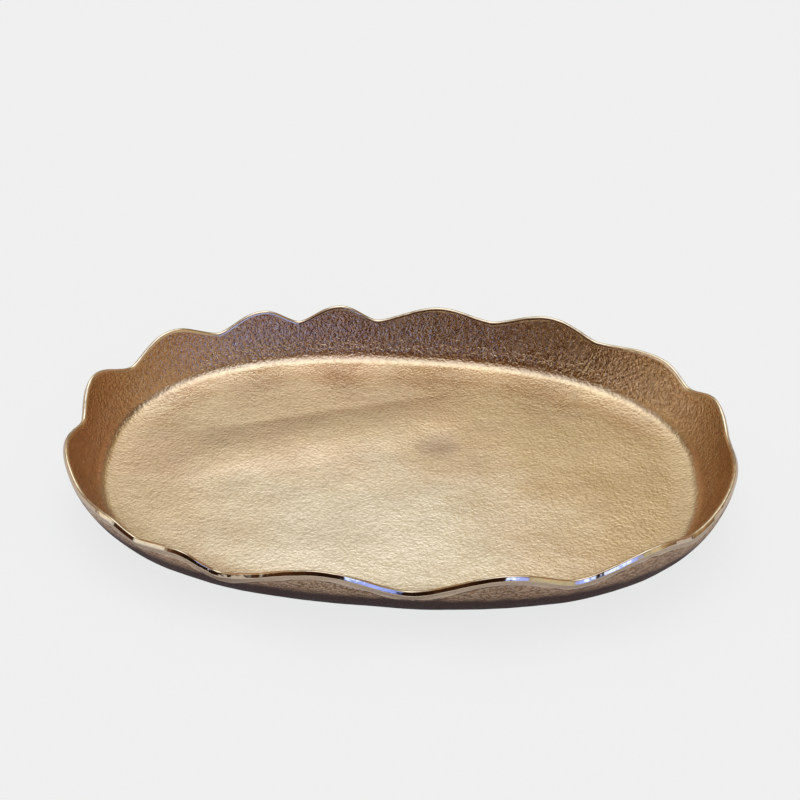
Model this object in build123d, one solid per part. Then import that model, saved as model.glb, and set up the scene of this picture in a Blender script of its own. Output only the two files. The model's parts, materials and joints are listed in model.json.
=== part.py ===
from build123d import *
import math
import os

# A shallow oval serving tray: one sand-cast brass casting with a wavy rim, standing on four felt pads.
# +X runs along the tray, +Y across it, +Z up. Z = 0 is the table under the pads.

# Floor: the flat part of the casting, out to the line where the wall starts to curve up
floor_half_length = 175.0
floor_half_width = 113.0
outline_power = 2.43        # 2 would be an ellipse, a higher power fills the corners
floor_thickness = 3.5

# Wall: it leaves the floor in a small crease and steepens towards the rim
wall_thickness = 3.5
crease_radius = 10.0        # inside radius between floor and wall
foot_angle = 52.0           # steepness above the horizontal where the crease ends, in degrees
rim_angle = 76.0            # steepness at the rim, in degrees

# Rim: its mean height above the floor, and each trough and crest of its wave in turn, as the turn
# round the oval (degrees, from the +X end towards +Y) and the rise above or below the mean there
rim_level = 29.0
rim_wave = [
    (9, -1.5), (20.5, 3.0), (30.5, -4.8), (39.5, 1.7), (53.5, -3.1), (63.5, 5.7),
    (75, -2.5), (85.5, 3.8), (98.5, -5.8), (106, 3.1), (114, -6.0), (121, 2.4),
    (130, -6.8), (140, 2.7), (151.5, -7.5), (164.5, 4.8), (177, -6.5), (196, 4.0),
    (209, -1.0), (221, 2.8), (226.5, -2.6), (235.5, 2.2), (242.5, -8.5), (260.5, 7.1),
    (275.5, -5.9), (292, 8.8), (303, -1.3), (317, 10.5), (327, 2.8), (346, 6.4),
]
wave_power = 1.6            # 2 gives even waves, a lower power broad crests over tighter troughs

# Felt pads stuck under the floor
pad_diameter = 20.0
pad_thickness = 2.0
pad_edge_radius = 0.5
pad_inset = 30.0            # from the edge of the flat underside to a pad's centre
pad_turns = {"back_right": 45, "back_left": 135, "front_left": 225, "front_right": 315}

# Fineness of the casting's skin
stations = 240              # round the oval
strip_rings = 5             # across each strip of the wall's section

serving_floor = pad_thickness + floor_thickness
rim_radius = wall_thickness / 2
steps = [i / (strip_rings - 1) for i in range(strip_rings)]

# The inside of the wall above the crease is an arc that reaches the rim's steepness at rim_level
foot = math.radians(foot_angle)
top = math.radians(rim_angle)
foot_out = crease_radius * math.sin(foot)
foot_up = crease_radius * (1 - math.cos(foot))
wall_radius = (rim_level - foot_up) / (math.cos(foot) - math.cos(top))


def outline_place(turn, out=0.0):
    """A point of the floor's outline, a superellipse, or one a distance outwards from it."""
    c, s = math.cos(math.radians(turn)), math.sin(math.radians(turn))
    reach = (abs(c) ** outline_power + abs(s) ** outline_power) ** (-1 / outline_power)
    on_outline = Vector(floor_half_length * c, floor_half_width * s) * reach
    outward = Vector(
        math.copysign(abs(c) ** (outline_power - 1), c) / floor_half_length,
        math.copysign(abs(s) ** (outline_power - 1), s) / floor_half_width,
    )
    return on_outline + outward.normalized() * out


def rim_height(turn):
    """The rim's height above the floor."""
    last_mark, first_mark = rim_wave[-1], rim_wave[0]
    marks = [(last_mark[0] - 360, last_mark[1])] + rim_wave + [(first_mark[0] + 360, first_mark[1])]
    for (start, start_rise), (end, end_rise) in zip(marks, marks[1:]):
        if start <= turn <= end:
            trough, crest = sorted((start_rise, end_rise))
            from_trough = (turn - start) / (end - start)
            if start_rise == crest:
                from_trough = 1 - from_trough
            swing = math.sin(math.pi / 2 * from_trough) ** wave_power
            return rim_level + trough + (crest - trough) * swing


def inner_wall(up):
    """A point (out, up) inside the wall, and the wall's direction out through its thickness there."""
    climbed = min(up, rim_level) - foot_up
    steepness = math.acos(math.cos(foot) - climbed / wall_radius)
    out = foot_out + wall_radius * (math.sin(steepness) - math.sin(foot))
    out += (up - foot_up - climbed) / math.tan(steepness)
    return Vector(out, up), Vector(math.sin(steepness), -math.cos(steepness))


def wall_section(height):
    """The casting's edge in an upright section, for a rim of this height: strips of (out, up) points
    from the underside over the rim to the floor, measured from the floor's outline and its top."""
    inner_foot, through = inner_wall(foot_up)
    outer_foot = inner_foot + through * wall_thickness
    heel_radius = (outer_foot.Y + floor_thickness) / (1 - math.cos(foot))
    heel_centre = Vector(outer_foot.X - heel_radius * math.sin(foot), heel_radius - floor_thickness)
    heel = [heel_centre + Vector(math.sin(foot * s), -math.cos(foot * s)) * heel_radius for s in steps]
    crease = [Vector(math.sin(foot * s), 1 - math.cos(foot * s)) * crease_radius for s in reversed(steps)]

    inner_top = height - rim_radius * (1 - math.cos(top))
    inside = [inner_wall(foot_up + (inner_top - foot_up) * s) for s in steps]
    outer = [point + through * wall_thickness for point, through in inside]
    inner = [point for point, through in reversed(inside)]

    through = inside[-1][1]
    along = Vector(-through.Y, through.X)
    rim_centre = inner[0] + through * rim_radius
    rim = [
        rim_centre + (through * math.cos(math.pi * s) + along * math.sin(math.pi * s)) * rim_radius
        for s in steps
    ]
    return [heel, outer, rim, inner, crease]


def casting():
    """The tray as one closed skin: underside, heel, outer wall, rim, inner wall, crease and floor."""
    turns = [360 * i / stations for i in range(stations)]
    sections = [wall_section(rim_height(turn)) for turn in turns]
    faces = []
    for strip in range(len(sections[0])):
        rings = []
        for ring in range(strip_rings):
            points = []
            for turn, section in zip(turns, sections):
                out, up = section[strip][ring].X, section[strip][ring].Y
                points.append(outline_place(turn, out) + Vector(0, 0, serving_floor + up))
            rings.append(Wire([Edge.make_spline(points, periodic=True)]))
        faces += Shell.make_loft(rings).faces()
        if strip == 0:
            faces.append(Face(rings[0]))
    faces.append(Face(rings[-1]))
    return Solid(Shell(faces))


def pad(turn):
    """One felt disc, flat on the table and on the casting's underside."""
    centre = outline_place(turn, -pad_inset)
    disc = Pos(centre.X, centre.Y, pad_thickness / 2) * Cylinder(pad_diameter / 2, pad_thickness)
    return fillet(disc.edges().group_by(Axis.Z)[0], pad_edge_radius)


pieces = {"tray_casting": casting()}
for place, turn in pad_turns.items():
    pieces[f"felt_pad_{place}"] = pad(turn)

os.makedirs("parts", exist_ok=True)
for name, piece in pieces.items():
    export_step(piece, f"parts/{name}.step")
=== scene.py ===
import json
import math

import bpy
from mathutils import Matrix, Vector


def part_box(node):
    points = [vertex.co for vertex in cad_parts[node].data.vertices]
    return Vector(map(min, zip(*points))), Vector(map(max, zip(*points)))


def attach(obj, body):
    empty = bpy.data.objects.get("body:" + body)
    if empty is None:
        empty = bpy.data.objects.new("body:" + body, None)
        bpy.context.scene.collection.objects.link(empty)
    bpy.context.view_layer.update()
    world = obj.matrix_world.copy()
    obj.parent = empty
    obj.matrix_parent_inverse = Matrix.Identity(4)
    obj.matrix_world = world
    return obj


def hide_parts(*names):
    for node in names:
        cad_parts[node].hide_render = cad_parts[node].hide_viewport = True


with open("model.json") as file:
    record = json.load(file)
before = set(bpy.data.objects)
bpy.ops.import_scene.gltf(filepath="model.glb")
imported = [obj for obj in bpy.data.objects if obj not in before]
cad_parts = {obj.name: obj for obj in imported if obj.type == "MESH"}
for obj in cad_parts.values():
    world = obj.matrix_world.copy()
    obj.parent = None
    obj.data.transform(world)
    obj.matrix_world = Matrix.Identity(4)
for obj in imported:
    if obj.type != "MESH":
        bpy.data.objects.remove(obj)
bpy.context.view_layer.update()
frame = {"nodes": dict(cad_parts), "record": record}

scene = bpy.context.scene
scene.view_settings.view_transform = "Standard"

padNodes = sorted(name for name in frame["nodes"] if name.startswith("felt_pad"))
floorHeight = next(m["pos_m"][2] for m in frame["record"]["mounts"] if m["name"] == "serving_floor")
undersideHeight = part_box(padNodes[0])[1].z
print("frame loaded:", sorted(frame["nodes"]))


class NodeSheet:  # wires the nodes of one tree
    def __init__(self, tree):
        self.tree = tree

    def feed(self, socket, value):
        if isinstance(value, bpy.types.NodeSocket):
            self.tree.links.new(value, socket)
        else:
            socket.default_value = value

    def put(self, kind, inputs=None, **settings):
        node = self.tree.nodes.new(kind)
        for name, value in settings.items():
            setattr(node, name, value)
        for name, value in (inputs or {}).items():
            self.feed(node.inputs[name], value)
        return node

    def calc(self, operation, *values, clamp=False):
        node = self.put("ShaderNodeMath", operation=operation, use_clamp=clamp)
        for socket, value in zip(node.inputs, values):
            self.feed(socket, value)
        return node.outputs[0]

    def plus(self, first, second):
        return self.calc("ADD", first, second)

    def minus(self, first, second):
        return self.calc("SUBTRACT", first, second)

    def over(self, first, second, clamp=False):
        return self.calc("DIVIDE", first, second, clamp=clamp)

    def times(self, *values):
        product = values[0]
        for value in values[1:]:
            product = self.calc("MULTIPLY", product, value)
        return product

    def vector(self, x, y, z):
        return self.put("ShaderNodeCombineXYZ", {"X": x, "Y": y, "Z": z}).outputs[0]

    def split(self, vector):  # its x, y and z
        return self.put("ShaderNodeSeparateXYZ", {"Vector": vector}).outputs

    def pair(self, operation, first, second):  # two vectors into one, or into a number
        node = self.put("ShaderNodeVectorMath", operation=operation)
        self.feed(node.inputs[0], first)
        self.feed(node.inputs[1], second)
        return node.outputs["Value" if operation in ("DOT_PRODUCT", "DISTANCE") else "Vector"]

    def scaled(self, vector, factor):
        node = self.put("ShaderNodeVectorMath", {"Vector": vector, "Scale": factor}, operation="SCALE")
        return node.outputs["Vector"]

    def ramp(self, value, low, high, toLow=0.0, toHigh=1.0):  # a soft step from toLow to toHigh
        node = self.put("ShaderNodeMapRange", interpolation_type="SMOOTHSTEP")
        for name, setting in zip(("Value", "From Min", "From Max", "To Min", "To Max"),
                                 (value, low, high, toLow, toHigh)):
            self.feed(node.inputs[name], setting)
        return node.outputs[0]

    def noise(self, place, size, detail=2.0, rough=0.5, shift=0.0):  # size is a typical blob's width
        moved = self.pair("ADD", place, (shift, shift * 0.7, shift * 1.3))
        node = self.put("ShaderNodeTexNoise", {"Vector": moved, "Scale": 1 / size, "Detail": detail,
                                               "Roughness": rough})
        return node.outputs[0]

    def swing(self, *values, **settings):  # noise about zero
        return self.minus(self.noise(*values, **settings), 0.5)

    def colours(self, share, first, second):
        node = self.put("ShaderNodeMix", data_type="RGBA")
        for number, value in ((0, share), (6, first), (7, second)):
            self.feed(node.inputs[number], value)
        return node.outputs[2]

    def blended(self, share, first, second):
        node = self.put("ShaderNodeMix", data_type="FLOAT")
        for number, value in ((0, share), (2, first), (3, second)):
            self.feed(node.inputs[number], value)
        return node.outputs[0]

    def field(self, name):  # a number stored on the mesh
        return self.put("GeometryNodeInputNamedAttribute", {"Name": name}, data_type="FLOAT").outputs[0]

    def keep(self, geometry, name, value, kind="FLOAT"):  # stores one
        store = self.put("GeometryNodeStoreNamedAttribute", {"Geometry": geometry, "Name": name},
                         data_type=kind, domain="POINT")
        self.feed(store.inputs["Value"], value)
        return store.outputs[0]


def addSocket(tree, name, kind, value=None, direction="INPUT"):
    socket = tree.interface.new_socket(name, in_out=direction, socket_type=kind)
    if value is not None:
        socket.default_value = value


def emptyTree(thing):  # a material's or the world's own nodes, cleared
    thing.use_nodes = True
    thing.node_tree.nodes.clear()
    return NodeSheet(thing.node_tree)


cameraPlace = {
    "azimuth": math.radians(5.06), "elevation": math.radians(37.99), "roll": math.radians(0.17),
    "distance": 1.096, "lens": 81.3, "shiftX": 0.0005, "shiftY": 0.0914,
}


def makeCamera(place):
    camera = bpy.data.objects.new("camera", bpy.data.cameras.new("camera"))
    scene.collection.objects.link(camera)
    back = Vector((math.sin(place["azimuth"]) * math.cos(place["elevation"]),
                   -math.cos(place["azimuth"]) * math.cos(place["elevation"]),
                   math.sin(place["elevation"])))
    camera.location = Vector((0, 0, floorHeight)) + back * place["distance"]
    camera.rotation_euler = back.to_track_quat("Z", "Y").to_euler()
    camera.rotation_euler.rotate_axis("Z", place["roll"])
    camera.data.lens = place["lens"]
    camera.data.shift_x = place["shiftX"]
    camera.data.shift_y = place["shiftY"]
    camera.data.clip_start = 0.01
    scene.camera = camera


makeCamera(cameraPlace)
print("camera placed")


trayShape = {  # each is an input of the casting's node tree, in metres and radians
    "Half Length": 0.175, "Half Width": 0.113, "Outline Power": 2.43,
    "Thickness": 0.0035, "Crease Radius": 0.010,
    "Foot Angle": math.radians(52), "Rim Angle": math.radians(76), "Rim Level": 0.029,
    "Floor Height": floorHeight, "Underside Height": undersideHeight,
    "Rim Facet": 0.00047,      # how deep the polished facet cuts into the rim's round
    "Band Height": 0.0036,     # the strip ground smooth under the outside of the rim
    "Band Ledge": 0.0004,      # how far the raw casting stands out below it
    "Swell": 0.0014,           # slow hollows and swells of the cast skin
    "Lumps": 0.0003,           # smaller ones
    "Sweep": 0.13,             # slope of the floor where it sweeps up to the crease
    "Sweep Width": 0.014,
    "Rim Waver": 0.0007,       # hand grinding leaves the rim a little uneven
    "Fold": 0.075,             # slope of a faint fold across the back left of the floor
    "Fold Back": 0.077,        # where it crosses the tray's middle line
    "Fold Lean": 0.35,         # how far it runs backwards for each step to the right
    "Dent": 0.0005,            # a shallow dent near the middle
    "Dent X": 0.020, "Dent Y": 0.038, "Dent Radius": 0.020,
    "Seed": 4.0,
    "Cells": 150,              # across the floor, even
    "Wall Rings": 30, "Rim Rings": 14,
}
wavePower = 1.6
rimWave = [  # trough and crest in turn: degrees round the oval, millimetres above or below the rim level
    (9, -1.5), (20.5, 3.0), (30.5, -4.8), (39.5, 1.7), (53.5, -3.1), (63.5, 5.7),
    (75, -2.5), (85.5, 3.8), (98.5, -5.8), (106, 3.1), (114, -6.0), (121, 2.4),
    (130, -6.8), (140, 2.7), (151.5, -7.5), (164.5, 4.8), (177, -6.5), (196, 4.0),
    (209, -1.0), (221, 2.8), (226.5, -2.6), (235.5, 2.2), (242.5, -8.5), (260.5, 7.1),
    (275.5, -5.9), (292, 8.8), (303, -1.3), (317, 10.5), (327, 2.8), (346, 6.4),
]
castMarks = {  # sizes of the marks, and the two places between which a mark sets in or fades out
    "swellSize": 0.060, "lumpSize": 0.009, "swellStart": (0.001, 0.014),    # below the rim
    "waverSize": 0.009, "waverEnd": (0.010, 0.0),
    "ledgeWander": 0.014, "ledgeShift": 0.005, "ledgeEnd": (0.030, 0.020),
    "foldStart": (-0.15, -0.10), "foldEnd": (0.05, -0.01),                  # along the tray
    "foldReach": (-0.060, -0.004), "foldSoft": 0.002,                       # in front of the fold
    "sweepEnd": (0.016, 0.004), "sweepPast": 0.6,                           # beyond the crease's start
}
creaseShare = 0.2      # of the rings on one side
ringCrowding = 1.5     # rings close up towards the rim
wrapRadius = 0.15      # of the circle that the grinding's streaks are laid round
farBelow = 0.05        # how far below the rim the floor counts as
weldDistance = 2e-5


def riseAt(turn):
    marks = [(rimWave[-1][0] - 360, rimWave[-1][1])] + rimWave + [(rimWave[0][0] + 360, rimWave[0][1])]
    for (start, startRise), (end, endRise) in zip(marks, marks[1:]):
        if start <= turn <= end:
            share = (turn - start) / (end - start)
            if startRise > endRise:
                share = 1 - share
            low, high = min(startRise, endRise), max(startRise, endRise)
            return (low + (high - low) * math.sin(math.pi / 2 * share) ** wavePower) / 1000


def makeRimLine(count):  # a ring of points whose heights are the rim's wave
    ring = bpy.data.meshes.new("rimLine")
    turns = [360 * i / count for i in range(count)]
    points = [(math.cos(math.radians(t)), math.sin(math.radians(t)), riseAt(t)) for t in turns]
    ring.from_pydata(points, [(i, (i + 1) % count) for i in range(count)], [])
    return ring


def ovalPoint(sheet, inputs, c, s):  # the floor's outline and its outward direction at a turn
    power = inputs["Outline Power"]
    absC, absS = sheet.calc("ABSOLUTE", c), sheet.calc("ABSOLUTE", s)
    total = sheet.plus(sheet.calc("POWER", absC, power), sheet.calc("POWER", absS, power))
    reach = sheet.calc("POWER", sheet.calc("MAXIMUM", total, 1e-6), sheet.over(-1.0, power))
    x = sheet.times(c, reach, inputs["Half Length"])
    y = sheet.times(s, reach, inputs["Half Width"])
    less = sheet.minus(power, 1.0)
    steepX = sheet.times(sheet.calc("SIGN", c), sheet.calc("POWER", absC, less))
    steepY = sheet.times(sheet.calc("SIGN", s), sheet.calc("POWER", absS, less))
    outward = sheet.vector(sheet.over(steepX, inputs["Half Length"]),
                           sheet.over(steepY, inputs["Half Width"]), 0.0)
    outward = sheet.put("ShaderNodeVectorMath", {"Vector": outward}, operation="NORMALIZE").outputs[0]
    return sheet.vector(x, y, 0.0), outward


def makeGrid(sheet, size, columns, rows):
    grid = sheet.put("GeometryNodeMeshGrid", {"Size X": size, "Size Y": size, "Vertices X": columns,
                                              "Vertices Y": rows}).outputs[0]
    return grid, sheet.split(sheet.put("GeometryNodeInputPosition").outputs[0])


def floorPatch(sheet, inputs, height, flipped):  # a square grid pulled out to the oval
    corners = sheet.plus(inputs["Cells"], 1)
    grid, point = makeGrid(sheet, 2.0, corners, corners)
    x, y = point[0], point[1]
    absX, absY = sheet.calc("ABSOLUTE", x), sheet.calc("ABSOLUTE", y)
    share = sheet.calc("MAXIMUM", absX, absY)
    lean = sheet.over(sheet.calc("MINIMUM", absX, absY), sheet.calc("MAXIMUM", share, 1e-6))
    angle = sheet.times(lean, math.pi / 4)
    steep = sheet.calc("GREATER_THAN", absY, absX)
    turn = sheet.plus(sheet.times(steep, sheet.minus(math.pi / 2, angle)),
                      sheet.times(sheet.minus(1.0, steep), angle))
    c = sheet.times(sheet.calc("SIGN", x), sheet.calc("COSINE", turn))
    s = sheet.times(sheet.calc("SIGN", y), sheet.calc("SINE", turn))
    edge, outward = ovalPoint(sheet, inputs, c, s)
    reach = sheet.calc("MAXIMUM", sheet.pair("DOT_PRODUCT", edge, outward), 0.1)  # never 0 in the middle
    fromCrease = sheet.times(sheet.minus(share, 1.0), reach)
    lifted = sheet.pair("ADD", sheet.scaled(edge, share), sheet.vector(0.0, 0.0, height))
    patch = sheet.keep(grid, "fromCrease", fromCrease)
    patch = sheet.put("GeometryNodeSetPosition", {"Geometry": patch, "Position": lifted}).outputs[0]
    if flipped:
        patch = sheet.put("GeometryNodeFlipFaces", {"Mesh": patch}).outputs[0]
    patch = sheet.keep(patch, "belowRim", farBelow)
    return sheet.keep(patch, "acrossRim", 1.0 if flipped else 0.0)


def innerWall(sheet, inputs, height, upSide):  # its steepness, how far out and up, and where it ends
    cosFoot, sinFoot = sheet.calc("COSINE", inputs["Foot Angle"]), sheet.calc("SINE", inputs["Foot Angle"])
    cosTop = sheet.calc("COSINE", inputs["Rim Angle"])
    creaseRadius, rimLevel = inputs["Crease Radius"], inputs["Rim Level"]
    innerTop = sheet.minus(height, sheet.times(inputs["Thickness"], 0.5, sheet.minus(1.0, cosTop)))

    # the crease is one arc
    footUp = sheet.times(creaseRadius, sheet.minus(1.0, cosFoot))
    footOut = sheet.times(creaseRadius, sinFoot)
    creaseAngle = sheet.times(sheet.over(upSide, creaseShare, clamp=True), inputs["Foot Angle"])
    creaseOut = sheet.times(creaseRadius, sheet.calc("SINE", creaseAngle))
    creaseUp = sheet.times(creaseRadius, sheet.minus(1.0, sheet.calc("COSINE", creaseAngle)))

    # the wall above it is a wider arc, and a crest goes straight on
    wallRadius = sheet.over(sheet.minus(rimLevel, footUp), sheet.minus(cosFoot, cosTop))
    down = sheet.over(sheet.minus(1.0, upSide), 1 - creaseShare, clamp=True)
    climb = sheet.minus(1.0, sheet.calc("POWER", down, ringCrowding))
    wallUp = sheet.plus(footUp, sheet.times(climb, sheet.minus(innerTop, footUp)))
    curved = sheet.minus(sheet.calc("MINIMUM", wallUp, rimLevel), footUp)
    wallAngle = sheet.calc("ARCCOSINE", sheet.minus(cosFoot, sheet.over(curved, wallRadius)))
    straight = sheet.minus(sheet.minus(wallUp, footUp), curved)
    arcOut = sheet.times(wallRadius, sheet.minus(sheet.calc("SINE", wallAngle), sinFoot))
    wallOut = sheet.plus(sheet.plus(footOut, arcOut), sheet.over(straight, sheet.calc("TANGENT", wallAngle)))

    inCrease = sheet.calc("LESS_THAN", upSide, creaseShare)
    results = []
    for inCreaseValue, onWallValue in ((creaseAngle, wallAngle), (creaseOut, wallOut), (creaseUp, wallUp)):
        choice = sheet.put("GeometryNodeSwitch", {"Switch": inCrease, "False": onWallValue,
                                                  "True": inCreaseValue}, input_type="FLOAT")
        results.append(choice.outputs[0])
    return (*results, innerTop)


def wallSkin(sheet, inputs):  # crease, inner wall, rim, outer wall and heel as one band of rings
    sideRings = inputs["Wall Rings"]
    allRings = sheet.plus(sheet.times(sideRings, 2), inputs["Rim Rings"])
    around = sheet.times(inputs["Cells"], 4)
    grid, point = makeGrid(sheet, 1.0, sheet.plus(around, 1), sheet.plus(allRings, 1))
    lap = sheet.plus(point[0], 0.5)
    ring = sheet.times(sheet.plus(point[1], 0.5), allRings)
    turn = sheet.times(lap, 2 * math.pi)
    c, s = sheet.calc("COSINE", turn), sheet.calc("SINE", turn)

    # the rim's height here, read from the rim line
    number = sheet.calc("MODULO", sheet.calc("ROUND", sheet.times(lap, around)), around)
    linePlace = sheet.put("GeometryNodeInputPosition").outputs[0]
    sample = sheet.put("GeometryNodeSampleIndex", {"Geometry": inputs["Rim Line"], "Value": linePlace,
                                                   "Index": number}, data_type="FLOAT_VECTOR", domain="POINT")
    height = sheet.plus(inputs["Rim Level"], sheet.split(sample.outputs[0])[2])

    # how far up its side a ring is, and how far across the rim
    upSide = sheet.over(sheet.calc("MINIMUM", ring, sheet.minus(allRings, ring)), sideRings, clamp=True)
    across = sheet.over(sheet.minus(ring, sideRings), inputs["Rim Rings"], clamp=True)
    angle, inner, up, innerTop = innerWall(sheet, inputs, height, upSide)
    cosAngle, sinAngle = sheet.calc("COSINE", angle), sheet.calc("SINE", angle)
    belowRim = sheet.over(sheet.minus(innerTop, up), sheet.calc("SINE", inputs["Rim Angle"]))

    # through the thickness and over the rim, whose outer shoulder is cut off to a facet
    half = sheet.times(across, math.pi)
    rimRadius = sheet.times(inputs["Thickness"], 0.5)
    through = sheet.times(rimRadius, sheet.minus(1.0, sheet.calc("COSINE", half)))
    over = sheet.times(rimRadius, sheet.calc("SINE", half))
    shoulder = sheet.minus(sheet.times(rimRadius, 1 + math.sqrt(2)),
                           sheet.times(inputs["Rim Facet"], math.sqrt(2)))
    cut = sheet.times(sheet.calc("MAXIMUM", sheet.minus(sheet.plus(through, over), shoulder), 0.0), 0.5)
    cut = sheet.times(cut, sheet.calc("LESS_THAN", across, 0.999))
    through, over = sheet.minus(through, cut), sheet.minus(over, cut)
    out = sheet.plus(inner, sheet.plus(sheet.times(through, sinAngle), sheet.times(over, cosAngle)))
    up = sheet.minus(sheet.plus(up, sheet.times(over, sinAngle)), sheet.times(through, cosAngle))

    edge, outward = ovalPoint(sheet, inputs, c, s)
    flat = sheet.pair("ADD", edge, sheet.scaled(outward, out))
    lifted = sheet.pair("ADD", flat, sheet.vector(0.0, 0.0, sheet.plus(up, inputs["Floor Height"])))
    wrap = sheet.vector(sheet.times(c, wrapRadius), sheet.times(s, wrapRadius), belowRim)
    skin = sheet.put("GeometryNodeFlipFaces", {"Mesh": grid}).outputs[0]
    skin = sheet.keep(skin, "belowRim", belowRim)
    skin = sheet.keep(skin, "fromCrease", inner)
    skin = sheet.keep(skin, "acrossRim", across)
    skin = sheet.keep(skin, "rimWrap", wrap, "FLOAT_VECTOR")
    return sheet.put("GeometryNodeSetPosition", {"Geometry": skin, "Position": lifted}).outputs[0]


def floorMarks(sheet, inputs, place):  # the fold and the dent
    point = sheet.split(place)
    x, y = point[0], point[1]
    beyond = sheet.minus(sheet.minus(y, inputs["Fold Back"]), sheet.times(x, inputs["Fold Lean"]))
    slope = sheet.calc("SMOOTH_MAX", sheet.times(beyond, -1.0), 0.0, castMarks["foldSoft"])
    along = sheet.times(sheet.ramp(x, *castMarks["foldStart"]), sheet.ramp(x, *castMarks["foldEnd"]))
    near = sheet.ramp(beyond, *castMarks["foldReach"])
    fold = sheet.times(sheet.times(slope, inputs["Fold"]), sheet.times(along, near))
    spot = sheet.vector(inputs["Dent X"], inputs["Dent Y"], inputs["Floor Height"])
    away = sheet.pair("DISTANCE", place, spot)
    return sheet.minus(fold, sheet.times(sheet.ramp(away, inputs["Dent Radius"], 0.0), inputs["Dent"]))


def floorSweep(sheet, inputs):  # the floor rises before the crease and the wall takes the rise back
    fromCrease, width = sheet.field("fromCrease"), inputs["Sweep Width"]
    run = sheet.calc("MAXIMUM", sheet.plus(sheet.calc("MINIMUM", fromCrease, 0.0), width), 0.0)
    bend = sheet.over(sheet.times(run, run), sheet.times(width, 2.0))
    past = sheet.times(sheet.calc("MAXIMUM", fromCrease, 0.0), castMarks["sweepPast"])
    ended = sheet.ramp(fromCrease, *castMarks["sweepEnd"])
    return sheet.times(sheet.plus(bend, past), inputs["Sweep"], ended)


def castRelief(sheet, inputs, skin):  # what the sand mould and the grinding left on the skin
    place = sheet.put("GeometryNodeInputPosition").outputs[0]
    seeded = sheet.pair("ADD", place, sheet.vector(inputs["Seed"], 0.0, 0.0))
    below = sheet.field("belowRim")
    outside = sheet.calc("GREATER_THAN", sheet.field("acrossRim"), 0.5)
    slow = sheet.times(sheet.swing(seeded, castMarks["swellSize"], 1.0), inputs["Swell"])
    small = sheet.times(sheet.swing(seeded, castMarks["lumpSize"], shift=3.1), inputs["Lumps"])
    push = sheet.times(sheet.plus(slow, small), sheet.ramp(below, *castMarks["swellStart"]))
    onFloor = sheet.times(floorMarks(sheet, inputs, place), sheet.minus(1.0, outside))

    # outside, the raw skin stands out below the ground strip
    uneven = sheet.times(sheet.swing(seeded, castMarks["ledgeWander"]), castMarks["ledgeShift"])
    raw = sheet.ramp(sheet.plus(below, uneven), sheet.times(inputs["Band Height"], 0.9),
                     sheet.times(inputs["Band Height"], 1.15))
    stands = sheet.times(raw, outside, inputs["Band Ledge"], sheet.ramp(below, *castMarks["ledgeEnd"]))
    push = sheet.plus(sheet.plus(push, onFloor), stands)
    normal = sheet.put("GeometryNodeInputNormal").outputs[0]

    waver = sheet.times(sheet.swing(seeded, castMarks["waverSize"], shift=8.0), inputs["Rim Waver"],
                        sheet.ramp(below, *castMarks["waverEnd"]))
    rise = sheet.vector(0.0, 0.0, sheet.plus(floorSweep(sheet, inputs), waver))
    moved = sheet.pair("ADD", sheet.scaled(normal, push), rise)
    return sheet.put("GeometryNodeSetPosition", {"Geometry": skin, "Offset": moved}).outputs[0]


def makeTrayTree():
    tree = bpy.data.node_groups.new("castTray", "GeometryNodeTree")
    addSocket(tree, "Rim Line", "NodeSocketGeometry")
    for name, value in trayShape.items():
        addSocket(tree, name, "NodeSocketInt" if isinstance(value, int) else "NodeSocketFloat", value)
    addSocket(tree, "Inside", "NodeSocketMaterial")
    addSocket(tree, "Outside", "NodeSocketMaterial")
    addSocket(tree, "Geometry", "NodeSocketGeometry", direction="OUTPUT")
    sheet = NodeSheet(tree)
    inputs = sheet.put("NodeGroupInput").outputs
    top = floorPatch(sheet, inputs, inputs["Floor Height"], False)
    bottom = floorPatch(sheet, inputs, inputs["Underside Height"], True)
    wall = wallSkin(sheet, inputs)
    joined = sheet.put("GeometryNodeJoinGeometry")
    for patch in (bottom, wall, top):
        tree.links.new(patch, joined.inputs[0])
    closed = sheet.put("GeometryNodeMergeByDistance", {"Geometry": joined.outputs[0],
                                                       "Distance": weldDistance}).outputs[0]
    skin = castRelief(sheet, inputs, closed)
    smooth = sheet.put("GeometryNodeSetShadeSmooth", {"Geometry": skin}).outputs[0]
    real = sheet.put("GeometryNodeRealizeInstances", {"Geometry": smooth}).outputs[0]
    inner = sheet.put("GeometryNodeSetMaterial", {"Geometry": real, "Material": inputs["Inside"]}).outputs[0]
    outside = sheet.calc("GREATER_THAN", sheet.field("acrossRim"), 0.5)
    outer = sheet.put("GeometryNodeSetMaterial", {"Geometry": inner, "Material": inputs["Outside"],
                                                  "Selection": outside}).outputs[0]
    sheet.put("NodeGroupOutput", {"Geometry": outer})
    return tree


def plainMesh(name, ring, tree, settings):  # the modifier's result as a mesh of its own
    maker = bpy.data.objects.new(name + "Maker", ring)
    scene.collection.objects.link(maker)
    modifier = maker.modifiers.new(name, "NODES")
    modifier.node_group = tree
    sockets = {item.name: item.identifier for item in tree.interface.items_tree if item.in_out == "INPUT"}
    for key, value in settings.items():
        modifier[sockets[key]] = value
    graph = bpy.context.evaluated_depsgraph_get()
    mesh = bpy.data.meshes.new_from_object(maker.evaluated_get(graph))
    mesh.name = name
    maker.modifiers.clear()
    bpy.data.objects.remove(maker)
    piece = bpy.data.objects.new(name, mesh)
    scene.collection.objects.link(piece)
    return piece


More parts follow.
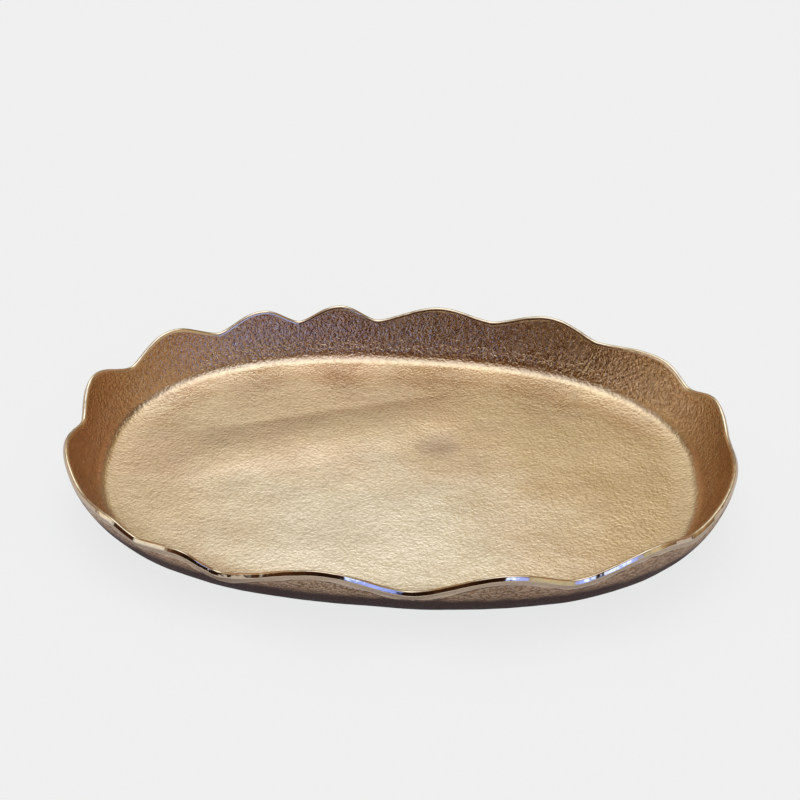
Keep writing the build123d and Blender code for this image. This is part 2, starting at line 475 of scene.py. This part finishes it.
brassColours = {
    "champagne": (0.78, 0.60, 0.39, 1), "rose": (0.79, 0.57, 0.37, 1),
    "pale": (0.91, 0.80, 0.62, 1), "amber": (0.73, 0.55, 0.325, 1),
    "polished": (0.88, 0.74, 0.52, 1), "pit": (0.42, 0.26, 0.14, 1),
    # the last colour is painted shade: the shadowed table that the lower outside reflects, and the shadow in
    # the ledge's crevice
    "tarnish": (0.45, 0.33, 0.27, 1), "paintedShade": (0.075, 0.042, 0.046, 1),
}
insideFinish = {  # each name is an input of one of the shader groups, or a bump's depth
    "Grain Size": 0.0018, "Grain Depth": 0.0010, "Floor Grain": 0.24, "Pit Shade": 0.35,
    "Wiped": 0.9, "Warm": 0.7, "Smudge": 0.4, "Tarnish": 0.15, "Painted Shade": 0.0, "Ledge Shade": 0.0,
    "Roughness": 0.22, "Rim Roughness": 0.19, "Band Roughness": 0.26,
    "Lip": 0.0002, "Lip Waver": 0.0004, "Band Height": 0.0006, "Scratch Depth": 0.0001,
}
outsideFinish = {
    "Grain Size": 0.0018, "Grain Depth": 0.0015, "Floor Grain": 0.6, "Pit Shade": 0.85,
    # the dark colour low on the outside is painted shade; Ledge Shade sets a painted shadow under the ground
    # strip
    "Wiped": 0.0, "Warm": 0.0, "Smudge": 0.0, "Tarnish": 0.35, "Painted Shade": 0.92, "Ledge Shade": 0.9,
    "Roughness": 0.32, "Rim Roughness": 0.07, "Band Roughness": 0.27,
    "Lip": 0.0003, "Lip Waver": 0.0004, "Band Height": trayShape["Band Height"], "Scratch Depth": 0.0001,
}
brassMarks = {  # sizes of the patterns, and the two places between which an area sets in or fades out
    "grainDeepens": (0.007, 0.014),                          # the height, from the floor's to the wall's
    "pitting": (0.36, 0.22), "rosySize": 0.055, "rosy": (0.35, 0.7),
    "raggedSize": 0.035, "ragged": 0.07,                     # how far the areas' edges wander
    "wipedShift": (0.004, 0.060, 0), "wipedSquash": (0.70, 1, 1), "wiped": (0.108, 0.02),
    "warmToX": 0.8, "warmToY": 0.6, "warm": (0.02, 0.10),    # towards the back right corner
    "smudgeSpot": (0.021, 0.030, floorHeight), "smudge": (0.020, 0.004),
    "stainSize": 0.030, "stains": (0.45, 0.75),
    "paintedShadeSize": 0.012, "paintedShadeWander": 0.006, "paintedShade": (0.031, 0.024),  # the height, bare to dark: painted shade low on the outside
    "mottleSize": 0.016, "mottleSpread": (-0.05, 0.06),      # of the roughness
    "streakSize": 0.008, "streakSpread": (-0.05, 0.08), "streakSquash": (1, 1, 14),
    "lipSize": 0.008, "rimSize": 0.012, "rimWander": 0.003,
    # gaps in the painted shadow line along the ledge
    "ledgeGapSize": 0.010, "ledgeGaps": (0.42, 0.6),
}
groupSockets = {"Place": "NodeSocketVector", "Tone": "NodeSocketColor"}  # all others are numbers


def startGroup(name, inputNames, outputNames):
    group = bpy.data.node_groups.new(name, "ShaderNodeTree")
    for key in inputNames:
        addSocket(group, key, groupSockets.get(key, "NodeSocketFloat"))
    for key in outputNames:
        addSocket(group, key, groupSockets.get(key, "NodeSocketFloat"), direction="OUTPUT")
    sheet = NodeSheet(group)
    return sheet, sheet.put("NodeGroupInput").outputs


def makeCastGrain():  # crumpled sand-cast skin: its height and a mask of its pits
    sheet, inputs = startGroup("castGrain", ("Place", "Grain Size", "Floor Grain"), ("Height", "Cavity"))
    size = inputs["Grain Size"]
    scale = sheet.over(1.0, size)
    warp = sheet.put("ShaderNodeTexNoise", {"Vector": inputs["Place"], "Detail": 1.0,
                                            "Scale": sheet.times(scale, 0.5)}).outputs["Color"]
    place = sheet.pair("ADD", inputs["Place"], sheet.scaled(warp, sheet.times(size, 1.1)))
    pebbles = sheet.put("ShaderNodeTexNoise", {"Vector": place, "Scale": scale, "Detail": 2.5,
                                               "Roughness": 0.55}).outputs[0]
    pores = sheet.put("ShaderNodeTexVoronoi", {"Vector": place, "Scale": sheet.times(scale, 0.9),
                                               "Smoothness": 0.6}, feature="SMOOTH_F1")
    height = sheet.minus(pebbles, sheet.times(pores.outputs["Distance"], 0.35))
    depth = sheet.ramp(sheet.split(inputs["Place"])[2], *brassMarks["grainDeepens"],
                       inputs["Floor Grain"], 1.0)
    pits = sheet.ramp(height, *brassMarks["pitting"])
    cavity = sheet.times(pits, sheet.calc("MAXIMUM", depth, 0.55))
    sheet.put("NodeGroupOutput", {"Height": sheet.times(height, depth), "Cavity": cavity})
    return sheet.tree


def makeRimWork():  # masks of the polished lip, the ground strip, its ledge's painted shadow line, and the grinding's streaks
    sheet, inputs = startGroup("rimWork", ("Lip", "Band Height"), ("Polish", "Band", "Ledge", "Streaks"))
    lip, bandHeight = inputs["Lip"], inputs["Band Height"]
    below = sheet.put("ShaderNodeAttribute", attribute_name="belowRim").outputs["Fac"]
    wrap = sheet.put("ShaderNodeAttribute", attribute_name="rimWrap").outputs["Vector"]
    ragged = sheet.times(sheet.swing(wrap, brassMarks["rimSize"], 3.0), brassMarks["rimWander"])
    lipEdge = sheet.plus(below, sheet.times(ragged, 0.25))
    polish = sheet.ramp(lipEdge, sheet.times(lip, 1.2), sheet.times(lip, 0.8))
    bandEdge = sheet.plus(below, ragged)
    band = sheet.ramp(bandEdge, sheet.times(bandHeight, 1.15), sheet.times(bandHeight, 0.92))
    broken = sheet.ramp(sheet.noise(wrap, brassMarks["ledgeGapSize"], shift=4.0), *brassMarks["ledgeGaps"])
    # where a shadow line is painted along the strip's lower edge, with gaps
    ledge = sheet.times(band, sheet.minus(1.0, band), 4.0, broken)
    squashed = sheet.pair("MULTIPLY", wrap, brassMarks["streakSquash"])
    streaks = sheet.noise(squashed, brassMarks["streakSize"], 4.0, 0.6)
    sheet.put("NodeGroupOutput", {"Polish": polish, "Band": band, "Ledge": ledge, "Streaks": streaks})
    return sheet.tree


def makeBrassTone():  # wiped, warm and stained areas, painted shade low down and along the ledge, pits and worked metal
    sheet, inputs = startGroup("brassTone", ("Place", "Cavity", "Polish", "Band", "Ledge", "Wiped", "Warm",
                                             "Smudge", "Tarnish", "Painted Shade", "Pit Shade", "Ledge Shade"),
                               ("Tone",))
    place = inputs["Place"]
    point = sheet.split(place)
    ragged = sheet.swing(place, brassMarks["raggedSize"], 3.0, shift=11.0)
    ragged = sheet.times(ragged, brassMarks["ragged"])

    rosy = sheet.ramp(sheet.noise(place, brassMarks["rosySize"], 3.0, shift=5.0), *brassMarks["rosy"])
    tone = sheet.colours(rosy, brassColours["champagne"], brassColours["rose"])
    middle = sheet.put("ShaderNodeMapping", {"Vector": place, "Location": brassMarks["wipedShift"],
                                             "Scale": brassMarks["wipedSquash"]}).outputs[0]
    apart = sheet.put("ShaderNodeVectorMath", {"Vector": middle}, operation="LENGTH").outputs["Value"]
    wiped = sheet.ramp(sheet.plus(apart, ragged), *brassMarks["wiped"], 0.0, inputs["Wiped"])
    tone = sheet.colours(wiped, tone, brassColours["pale"])
    toCorner = sheet.plus(sheet.times(point[0], brassMarks["warmToX"]),
                          sheet.times(point[1], brassMarks["warmToY"]))
    warm = sheet.ramp(sheet.plus(toCorner, ragged), *brassMarks["warm"], 0.0, inputs["Warm"])
    tone = sheet.colours(warm, tone, brassColours["amber"])

    away = sheet.pair("DISTANCE", place, brassMarks["smudgeSpot"])
    away = sheet.plus(away, sheet.times(ragged, 0.2))
    smudge = sheet.ramp(away, *brassMarks["smudge"], 0.0, inputs["Smudge"])
    tone = sheet.colours(smudge, tone, brassColours["tarnish"])
    stained = sheet.noise(place, brassMarks["stainSize"], 4.0, 0.6, shift=9.0)
    stained = sheet.ramp(stained, *brassMarks["stains"], 0.0, inputs["Tarnish"])
    tone = sheet.colours(stained, tone, brassColours["tarnish"])
    # painted shade: darker towards the bottom of the outside and underside, standing in for the shadowed
    # table they reflect
    uneven = sheet.times(sheet.noise(place, brassMarks["paintedShadeSize"], 4.0), brassMarks["paintedShadeWander"])
    low = sheet.ramp(sheet.plus(point[2], uneven), *brassMarks["paintedShade"], 0.0, inputs["Painted Shade"])
    tone = sheet.colours(low, tone, brassColours["paintedShade"])
    pits = sheet.times(inputs["Cavity"], inputs["Pit Shade"], sheet.minus(1.0, low))
    tone = sheet.colours(pits, tone, brassColours["pit"])

    worked = sheet.calc("MAXIMUM", inputs["Polish"], sheet.times(inputs["Band"], 0.8))
    tone = sheet.colours(worked, tone, brassColours["polished"])
    # painted shadow in the crevice along the ledge, in the painted shade colour
    tone = sheet.colours(sheet.times(inputs["Ledge"], inputs["Ledge Shade"]), tone, brassColours["paintedShade"])
    sheet.put("NodeGroupOutput", {"Tone": tone})
    return sheet.tree


def makeBrassTouch():  # how rough the metal is, and the heights of its skin, its lip and its scratches
    sheet, inputs = startGroup("brassTouch", ("Place", "Height", "Polish", "Band", "Streaks", "Roughness",
                                              "Rim Roughness", "Band Roughness"),
                               ("Roughness", "Skin", "Lip Marks", "Scratches"))
    place, polish, band = inputs["Place"], inputs["Polish"], inputs["Band"]
    base, ground = inputs["Roughness"], inputs["Band Roughness"]
    mottled = sheet.ramp(sheet.noise(place, brassMarks["mottleSize"], 3.0, shift=2.0), 0.3, 0.7,
                         *(sheet.plus(base, spread) for spread in brassMarks["mottleSpread"]))
    onBand = sheet.ramp(inputs["Streaks"], 0.3, 0.7,
                        *(sheet.plus(ground, spread) for spread in brassMarks["streakSpread"]))
    rough = sheet.blended(polish, sheet.blended(band, mottled, onBand), inputs["Rim Roughness"])
    raw = sheet.minus(1.0, sheet.calc("MAXIMUM", polish, sheet.times(band, 0.93)))
    bandOnly = sheet.calc("SUBTRACT", band, polish, clamp=True)
    sheet.put("NodeGroupOutput", {
        "Roughness": rough,
        "Skin": sheet.times(inputs["Height"], raw),
        "Lip Marks": sheet.times(sheet.noise(place, brassMarks["lipSize"], shift=7.0), polish),
        "Scratches": sheet.times(inputs["Streaks"], bandOnly),
    })
    return sheet.tree


brassGroups = [makeCastGrain(), makeRimWork(), makeBrassTone(), makeBrassTouch()]


def makeBrass(name, finish):
    material = bpy.data.materials.new(name)
    sheet = emptyTree(material)
    known = dict(finish, Place=sheet.put("ShaderNodeTexCoord").outputs["Object"])
    for group in brassGroups:  # each is fed from the finish and from the groups before it
        node = sheet.put("ShaderNodeGroup", node_tree=group)
        for socket in node.inputs:
            sheet.feed(socket, known[socket.name])
        known.update((socket.name, socket) for socket in node.outputs)
    skin = sheet.put("ShaderNodeBump", {"Height": known["Skin"], "Strength": 1.0,
                                        "Distance": finish["Grain Depth"]}).outputs[0]
    lip = sheet.put("ShaderNodeBump", {"Height": known["Lip Marks"], "Strength": 1.0, "Normal": skin,
                                       "Distance": finish["Lip Waver"]}).outputs[0]
    normal = sheet.put("ShaderNodeBump", {"Height": known["Scratches"], "Strength": 1.0, "Normal": lip,
                                          "Distance": finish["Scratch Depth"]}).outputs[0]
    surface = sheet.put("ShaderNodeBsdfPrincipled", {"Base Color": known["Tone"], "Metallic": 1.0,
                                                     "Roughness": known["Roughness"], "Normal": normal})
    sheet.put("ShaderNodeOutputMaterial", {"Surface": surface.outputs[0]})
    return material


brassInside = makeBrass("brassInside", insideFinish)
brassOutside = makeBrass("brassOutside", outsideFinish)
print("brass finishes made")

traySettings = dict(trayShape, Inside=brassInside, Outside=brassOutside)
tray = plainMesh("castTray", makeRimLine(4 * trayShape["Cells"]), makeTrayTree(), traySettings)
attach(tray, "root")
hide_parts("tray_casting")
print("casting made:", len(tray.data.polygons), "faces")


feltFinish = {
    "felt": (0.045, 0.028, 0.018, 1), "fibre": (0.11, 0.075, 0.05, 1),
    "fibreSize": 0.0009, "fibreDepth": 0.0003, "roughness": 0.95, "sheen": 0.4,
}


def makeFelt():
    material = bpy.data.materials.new("feltPad")
    sheet = emptyTree(material)
    place = sheet.put("ShaderNodeTexCoord").outputs["Object"]
    fibres = sheet.noise(place, feltFinish["fibreSize"], 5.0, 0.7)
    tone = sheet.colours(sheet.ramp(fibres, 0.4, 0.65), feltFinish["felt"], feltFinish["fibre"])
    normal = sheet.put("ShaderNodeBump", {"Height": fibres, "Strength": 1.0,
                                          "Distance": feltFinish["fibreDepth"]}).outputs[0]
    surface = sheet.put("ShaderNodeBsdfPrincipled", {"Base Color": tone, "Normal": normal,
                                                     "Roughness": feltFinish["roughness"],
                                                     "Sheen Weight": feltFinish["sheen"]})
    sheet.put("ShaderNodeOutputMaterial", {"Surface": surface.outputs[0]})
    return material


felt = makeFelt()
for name in padNodes:
    pad = frame["nodes"][name]
    pad.data.materials.clear()
    pad.data.materials.append(felt)
print("felt pads finished")


studio = {
    "backdrop": (0.855, 0.871, 0.863, 1),   # what the camera sees
    "backdropGlow": 0.90,
    "shadowed": (0.17, 0.17, 0.17, 1),      # the share of it that a shadow can darken
    "tableShade": (0.85, 0.87, 0.92, 1),    # what the brass sees of the table
    "tableGlow": 0.09,
    "ambient": (0.018, 0.008, 0.004, 1),
    "reach": 4.0, "drop": 0.0002,           # the floor's, which is a hair under the pads
}
glows = [  # soft lights all round: azimuth clockwise from +Y, elevation, colour, inner and outer angle
    (352, 76, (0.90, 1.05, 1.38), 0, 38),    # the big soft key, high at the back
    (356, 52, (0.61, 0.54, 0.33), 0, 38),
    (0, 90, (0.32, 0.30, 0.28), 0, 38),
    (346, 40, (0.16, 0.22, 0.34), 0, 22),
    (0, 12, (0.30, 0.26, 0.23), 0, 22),
    (38, 12, (0.50, 0.30, 0.20), 0, 26),     # warm, low at the back on both sides
    (322, 12, (0.50, 0.30, 0.20), 0, 26),
    (90, 30, (0.54, 0.38, 0.24), 0, 38),     # warm walls of the room
    (270, 30, (0.54, 0.40, 0.26), 0, 38),
    (228, 30, (0.05, 0.02, 0.01), 0, 34),
    (124, 7, (0.42, 0.43, 0.35), 0, 21),     # low in front, for the walls at the back corners
    (256, 7, (0.68, 0.74, 0.84), 8, 22),
    (180, 58, (0.16, 0.07, 0.03), 0, 34),    # faint and warm in front
    (136, 29, (0.17, 0.14, 0.11), 0, 34),
    (152, 16, (0.30, 0.50, 1.70), 0, 17),    # a cool window at the front right
    (160, 22, (0.70, 0.90, 1.50), 3, 8),
]


def makeWorld():
    world = bpy.data.worlds.new("studio")
    scene.world = world
    sheet = emptyTree(world)
    direction = sheet.put("ShaderNodeTexCoord").outputs["Generated"]
    total = studio["ambient"]
    for azimuth, elevation, colour, inner, outer in glows:
        a, e = math.radians(azimuth), math.radians(elevation)
        towards = (math.sin(a) * math.cos(e), math.cos(a) * math.cos(e), math.sin(e))
        facing = sheet.pair("DOT_PRODUCT", direction, towards)
        share = sheet.ramp(facing, math.cos(math.radians(outer)), math.cos(math.radians(inner)))
        added = sheet.put("ShaderNodeMix", data_type="RGBA", blend_type="ADD", clamp_factor=False)
        for number, value in ((0, share), (6, total), (7, (*colour, 1))):
            sheet.feed(added.inputs[number], value)
        total = added.outputs[2]
    seen = sheet.put("ShaderNodeLightPath").outputs["Is Camera Ray"]
    shown = sheet.colours(seen, total, studio["backdrop"])
    background = sheet.put("ShaderNodeBackground", {"Color": shown})
    sheet.put("ShaderNodeOutputWorld", {"Surface": background.outputs[0]})


def joinShaders(sheet, first, second, share=None):  # added, or mixed by a share
    node = sheet.put("ShaderNodeAddShader" if share is None else "ShaderNodeMixShader")
    if share is not None:
        sheet.feed(node.inputs[0], share)
    sheet.feed(node.inputs[-2], first.outputs[0])
    sheet.feed(node.inputs[-1], second.outputs[0])
    return node


def makeFloor():
    reach, low = studio["reach"], -studio["drop"]
    mesh = bpy.data.meshes.new("studioFloor")
    corners = [(-reach, -reach, low), (reach, -reach, low), (reach, reach, low), (-reach, reach, low)]
    mesh.from_pydata(corners, [], [(0, 1, 2, 3)])
    floor = bpy.data.objects.new("studioFloor", mesh)
    scene.collection.objects.link(floor)
    material = bpy.data.materials.new("paleFloor")
    sheet = emptyTree(material)
    even = sheet.put("ShaderNodeEmission", {"Color": studio["backdrop"], "Strength": studio["backdropGlow"]})
    matte = sheet.put("ShaderNodeBsdfDiffuse", {"Color": studio["shadowed"]})
    lit = sheet.put("ShaderNodeBsdfDiffuse", {"Color": studio["tableShade"]})
    glow = sheet.put("ShaderNodeEmission", {"Color": studio["tableShade"], "Strength": studio["tableGlow"]})
    seen = sheet.put("ShaderNodeLightPath").outputs["Is Camera Ray"]
    above = joinShaders(sheet, joinShaders(sheet, lit, glow), joinShaders(sheet, even, matte), seen)
    clear = sheet.put("ShaderNodeBsdfTransparent")  # from beneath, so that the pads can be looked at
    beneath = sheet.put("ShaderNodeNewGeometry").outputs["Backfacing"]
    surface = joinShaders(sheet, above, clear, beneath)
    sheet.put("ShaderNodeOutputMaterial", {"Surface": surface.outputs[0]})
    mesh.materials.append(material)


makeWorld()
makeFloor()
print("studio lit")
